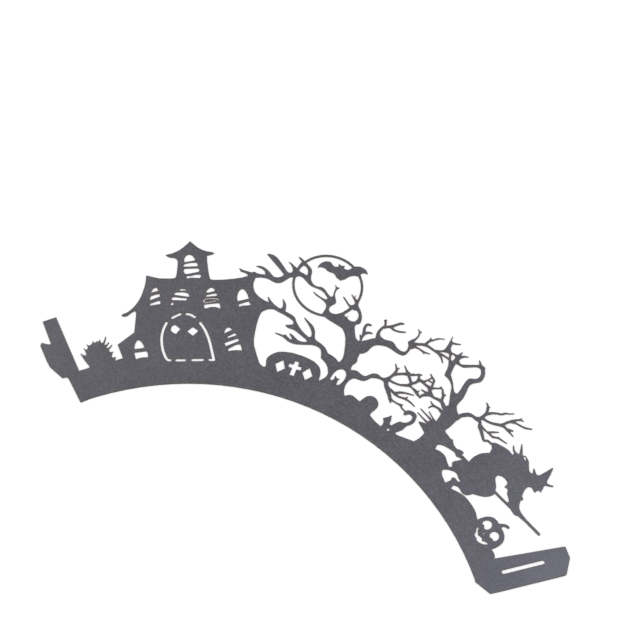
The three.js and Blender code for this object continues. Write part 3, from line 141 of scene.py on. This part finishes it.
face_tone = ramp(tree, mottle.outputs["Value"], (0.44, FACE_DARK), (0.62, FACE), (0.84, FACE_PALE))
height = add_node(tree, "ShaderNodeSeparateXYZ", inputs={"Vector": place.outputs["Object"]})
core_depth = add_node(
    tree,
    "ShaderNodeMapRange",
    inputs={"Value": height.outputs["Z"], "From Min": 0.0, "From Max": CARD_THICKNESS},
)
core_tone = ramp(
    tree, core_depth.outputs["Result"], (0.0, CORE_BURNT), (0.45, CORE_BROWN), (1.0, CORE_BURNT)
)
sheen = add_node(
    tree,
    "ShaderNodeMapRange",
    inputs={
        "Value": grain.outputs["Fac"],
        "From Min": 0.3,
        "From Max": 0.7,
        "To Min": GLOSSIEST_ROUGHNESS,
        "To Max": DULLEST_ROUGHNESS,
    },
)
flakes = add_node(
    tree,
    "ShaderNodeBump",
    inputs={"Strength": 0.25, "Distance": FLAKE_RELIEF, "Height": grain.outputs["Fac"]},
)
coat = add_node(
    tree,
    "ShaderNodeBsdfPrincipled",
    inputs={
        "Base Color": face_or_cut(tree, place, face_tone, core_tone),
        "Roughness": sheen.outputs["Result"],
        "Normal": flakes.outputs["Normal"],
        "IOR": PAPER_IOR,
    },
)
add_node(tree, "ShaderNodeOutputMaterial", inputs={"Surface": coat.outputs["BSDF"]})

wrapper.data.materials.clear()
wrapper.data.materials.append(pearl_card)


# The scorched edge runs round the sheet and round every opening. The laser's heat burns the black
# coat back by 0.15 mm on both faces and chars the cut between them. So this skin covers the
# outermost 0.15 mm of the card, and stands proud of it by a few thousandths of a millimetre.
SCORCH_INWARD = 0.00015
SCORCH_PROUD = 0.000006
SCORCH_CORNER = 0.00002
SCORCH_ROUGHNESS = 0.85
SCORCH_DARK = "#463527"
SCORCH = "#5F4B37"
SCORCH_PALE = "#776049"
STREAK_SIZE = 0.00025
STREAK_LENGTH = 0.003
SAME_POINT = 0.0000001


def cut_lines(mesh):
    """The closed lines round the upper face, with the card on their left, as lists of points."""
    work = bmesh.new()
    work.from_mesh(mesh)
    bmesh.ops.remove_doubles(work, verts=work.verts, dist=SAME_POINT)
    following = {}
    for face in work.faces:
        if face.normal.z < FLAT_FACE_TILT:
            continue
        for corner in face.loops:
            beyond = corner.link_loop_radial_next.face
            if beyond == face or beyond.normal.z < FLAT_FACE_TILT:
                following[corner.vert] = corner.link_loop_next.vert
    lines = []
    while following:
        at = next(iter(following))
        line = []
        while at in following:
            line.append((at.co.x, at.co.y))
            at = following.pop(at)
        lines.append(line)
    work.free()
    return lines


# Scorched paper: matt brown ash and charred pulp with fine upright streaks from the pulses of the
# beam. The streaks are near 0.05 mm apart, too fine to show, so they are drawn at 0.25 mm.
scorched_paper = blank_material("laser-scorched paper")
tree = scorched_paper.node_tree
place = add_node(tree, "ShaderNodeTexCoord")
stretch = add_node(
    tree,
    "ShaderNodeMapping",
    inputs={
        "Vector": place.outputs["Object"],
        "Scale": (1 / STREAK_SIZE, 1 / STREAK_SIZE, 1 / STREAK_LENGTH),
    },
)
streaks = add_node(
    tree,
    "ShaderNodeTexNoise",
    {"noise_dimensions": "3D"},
    {"Vector": stretch.outputs["Vector"], "Scale": 1.0, "Detail": 2.0, "Roughness": 0.6},
)
ash_tone = ramp(
    tree, streaks.outputs["Fac"], (0.3, SCORCH_DARK), (0.5, SCORCH), (0.7, SCORCH_PALE)
)
height = add_node(tree, "ShaderNodeSeparateXYZ", inputs={"Vector": place.outputs["Object"]})
uneven = add_node(
    tree,
    "ShaderNodeMath",
    {"operation": "MULTIPLY_ADD"},
    {0: streaks.outputs["Fac"], 1: CARD_THICKNESS / 3, 2: height.outputs["Z"]},
)
char = add_node(
    tree,
    "ShaderNodeMapRange",
    inputs={
        "Value": uneven.outputs["Value"],
        "From Min": CARD_THICKNESS / 6,
        "From Max": CARD_THICKNESS * 7 / 6,
    },
)
pulp_tone = ramp(
    tree,
    char.outputs["Result"],
    (0.0, CORE_BURNT),
    (0.3, CORE_BROWN),
    (0.6, CORE_BROWN),
    (1.0, CORE_BURNT),
)
ridges = add_node(
    tree,
    "ShaderNodeBump",
    inputs={"Strength": 0.3, "Distance": SCORCH_CORNER, "Height": streaks.outputs["Fac"]},
)
ash = add_node(
    tree,
    "ShaderNodeBsdfPrincipled",
    inputs={
        "Base Color": face_or_cut(tree, place, ash_tone, pulp_tone),
        "Roughness": SCORCH_ROUGHNESS,
        "Normal": ridges.outputs["Normal"],
        "IOR": PAPER_IOR,
    },
)
add_node(tree, "ShaderNodeOutputMaterial", inputs={"Surface": ash.outputs["BSDF"]})

# The skin is a rounded rectangle, as wide as the scorch and a little taller than the card, swept
# along the cut lines at half the card's height.
edging = bpy.data.node_groups.new("scorched edging", "GeometryNodeTree")
edging.interface.new_socket("Cut lines", in_out="INPUT", socket_type="NodeSocketGeometry")
sizes = {}
for name in ("Inward", "Proud", "Thickness", "Corner"):
    sizes[name] = edging.interface.new_socket(name, in_out="INPUT", socket_type="NodeSocketFloat")
edging.interface.new_socket("Edging", in_out="OUTPUT", socket_type="NodeSocketGeometry")
given = add_node(edging, "NodeGroupInput")
full_width = add_node(
    edging,
    "ShaderNodeMath",
    {"operation": "ADD"},
    {0: given.outputs["Inward"], 1: given.outputs["Proud"]},
)
full_height = add_node(
    edging,
    "ShaderNodeMath",
    {"operation": "MULTIPLY_ADD"},
    {0: given.outputs["Proud"], 1: 2.0, 2: given.outputs["Thickness"]},
)
section = add_node(
    edging,
    "GeometryNodeCurvePrimitiveQuadrilateral",
    {"mode": "RECTANGLE"},
    {"Width": full_width.outputs["Value"], "Height": full_height.outputs["Value"]},
)
rounded = add_node(
    edging,
    "GeometryNodeFilletCurve",
    inputs={"Curve": section.outputs["Curve"], "Radius": given.outputs["Corner"]},
)
offset = add_node(
    edging,
    "ShaderNodeMath",
    {"operation": "SUBTRACT"},
    {0: given.outputs["Proud"], 1: given.outputs["Inward"]},
)
half_offset = add_node(
    edging, "ShaderNodeMath", {"operation": "MULTIPLY"}, {0: offset.outputs["Value"], 1: 0.5}
)
shift = add_node(edging, "ShaderNodeCombineXYZ", inputs={"X": half_offset.outputs["Value"]})
moved = add_node(
    edging,
    "GeometryNodeTransform",
    inputs={"Geometry": rounded.outputs["Curve"], "Translation": shift.outputs["Vector"]},
)
upright = add_node(
    edging, "GeometryNodeSetCurveNormal", {"mode": "Z_UP"}, {"Curve": given.outputs["Cut lines"]}
)
swept = add_node(
    edging,
    "GeometryNodeCurveToMesh",
    inputs={"Curve": upright.outputs["Curve"], "Profile Curve": moved.outputs["Geometry"]},
)
single = add_node(edging, "GeometryNodeRealizeInstances", inputs={"Geometry": swept.outputs["Mesh"]})
finished = add_node(
    edging,
    "GeometryNodeSetMaterial",
    inputs={"Geometry": single.outputs["Geometry"], "Material": scorched_paper},
)
add_node(edging, "NodeGroupOutput", inputs={"Edging": finished.outputs["Geometry"]})

path_data = bpy.data.curves.new("cut lines", "CURVE")
path_data.dimensions = "3D"
for line in cut_lines(wrapper.data):
    spline = path_data.splines.new("POLY")
    spline.points.add(len(line) - 1)
    for point, (x, y) in zip(spline.points, line):
        point.co = (x, y, CARD_THICKNESS / 2, 1.0)
    spline.use_cyclic_u = True
path = bpy.data.objects.new("cut lines", path_data)
bpy.context.scene.collection.objects.link(path)
modifier = path.modifiers.new("edging", "NODES")
modifier.node_group = edging
modifier[sizes["Inward"].identifier] = SCORCH_INWARD
modifier[sizes["Proud"].identifier] = SCORCH_PROUD
modifier[sizes["Thickness"].identifier] = CARD_THICKNESS
modifier[sizes["Corner"].identifier] = SCORCH_CORNER
evaluated = path.evaluated_get(bpy.context.evaluated_depsgraph_get())
edge_mesh = bpy.data.meshes.new_from_object(evaluated)
bpy.data.objects.remove(path)
edge_work = bmesh.new()
edge_work.from_mesh(edge_mesh)
bmesh.ops.recalc_face_normals(edge_work, faces=edge_work.faces)
edge_work.to_mesh(edge_mesh)
edge_work.free()
scorched_edge = bpy.data.objects.new("scorched_edge", edge_mesh)
bpy.context.scene.collection.objects.link(scorched_edge)
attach(scorched_edge, "root")


# The floor is a plain white sweep that the wrapper lies on.
FLOOR_SIZE = 4.0
FLOOR_GAP = 0.00002
FLOOR_WHITE = "#FBFBFB"

white_paper = blank_material("white sweep")
tree = white_paper.node_tree
matt = add_node(tree, "ShaderNodeBsdfDiffuse", inputs={"Color": from_srgb(FLOOR_WHITE)})
add_node(tree, "ShaderNodeOutputMaterial", inputs={"Surface": matt.outputs["BSDF"]})
bpy.ops.mesh.primitive_plane_add(size=FLOOR_SIZE, location=(0, 0, 0))
floor = bpy.context.object
floor.name = "white_sweep"
floor.location.z = -FLOOR_GAP
floor.data.materials.append(white_paper)


# Light: a white world and two small lamps behind the sheet, a cool one beyond its right end and a
# plain one beyond its left. Their gloss is what makes the card paler towards both ends.
def soft_lamp(name, spot, power, size, tint):
    data = bpy.data.lights.new(name, "AREA")
    data.energy = power
    data.color = tint
    data.size = size
    lamp = bpy.data.objects.new(name, data)
    lamp.location = spot
    lamp.rotation_euler = (-Vector(spot)).to_track_quat("-Z", "Y").to_euler()
    bpy.context.scene.collection.objects.link(lamp)


soft_lamp("right_lamp", spot=(0.18, 0.26, 0.8), power=0.95, size=0.15, tint=(0.68, 0.74, 1.0))
soft_lamp("left_lamp", spot=(-0.55, 0.33, 0.8), power=0.5, size=0.3, tint=(0.97, 0.98, 1.0))

world = bpy.data.worlds.new("studio")
bpy.context.scene.world = world
world.use_nodes = True
world.node_tree.nodes["Background"].inputs["Color"].default_value = (1, 1, 1, 1)
world.node_tree.nodes["Background"].inputs["Strength"].default_value = 1.0


# The camera stands where the photograph was taken from: front right and high, with a long lens.
# Its place is in metres from the middle of the sheet, and its lens and sensor in millimetres.
CAMERA_PLACE = (0.0940, -0.2053, 0.4584)
CAMERA_LENS = 85.2
CAMERA_SENSOR = 36.0
SIGHT_RIGHT = Vector((0.9056, 0.4242, 0.0))
SIGHT_UP = Vector((-0.3728, 0.7958, 0.4772))

camera = bpy.data.objects.new("camera", bpy.data.cameras.new("camera"))
camera.data.lens = CAMERA_LENS
camera.data.sensor_width = CAMERA_SENSOR
camera.data.clip_start = 0.01
camera.data.clip_end = 20.0
right = SIGHT_RIGHT.normalized()
up = (SIGHT_UP - right * SIGHT_UP.dot(right)).normalized()
back = right.cross(up)
turn = Matrix((right, up, back)).transposed().to_4x4()
camera.matrix_world = Matrix.Translation(Vector(CAMERA_PLACE)) @ turn
bpy.context.scene.collection.objects.link(camera)
bpy.context.scene.camera = camera
